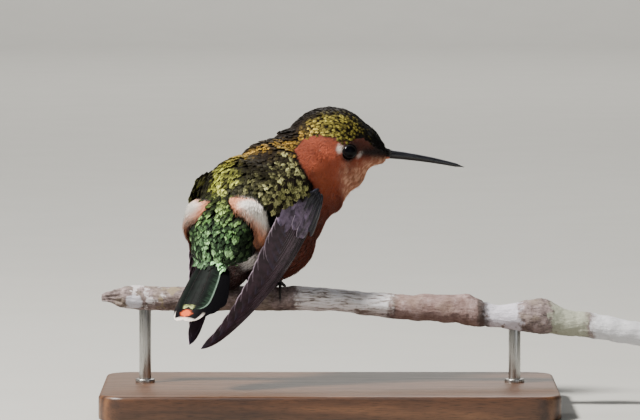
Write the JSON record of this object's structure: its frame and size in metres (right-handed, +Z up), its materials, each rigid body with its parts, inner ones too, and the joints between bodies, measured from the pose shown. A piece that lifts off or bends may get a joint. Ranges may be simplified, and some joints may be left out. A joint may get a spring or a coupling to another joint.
{
  "type": "hummingbird",
  "caption": "Still, life-size small hummingbird hunched on a short cut twig, head turned to its right, held over a flat base by short rods.",
  "frame": {"origin": "middle of the display base's flat underside", "axes": "+Z up; the twig and the base's long side lie along X; -Y is the side that shows the bird's back and right flank, and the bill points mostly to +X"},
  "size_m": [0.1016, 0.046, 0.0553],
  "materials": {
    "plumage": "bronze-green scale-like feathers above, brick-rufous face, throat and underparts, white flank tufts",
    "quills": "dusky purple-brown flight feathers with thin pale edges",
    "bill": "satin black horn",
    "eyes": "wet dark brown",
    "bare_skin": "matt black scaled skin and claws",
    "bark": "weathered grey-brown bark with pale lichen",
    "base_wood": "satin dark walnut",
    "rod_steel": "fine brushed"
  },
  "bodies": {
    "root": {"head": "plumage", "neck": "plumage", "trunk": "plumage", "wing_left": "quills", "wing_right": "quills", "tail": "quills", "bill_upper": "bill", "bill_lower": "bill", "eye_left": "eyes", "eye_right": "eyes", "leg_left": "bare_skin", "leg_right": "bare_skin", "foot_left": "bare_skin", "foot_right": "bare_skin", "perch": "bark", "stand_base": "base_wood", "stand_rod_left": "rod_steel", "stand_rod_right": "rod_steel"}
  },
  "joints": []
}
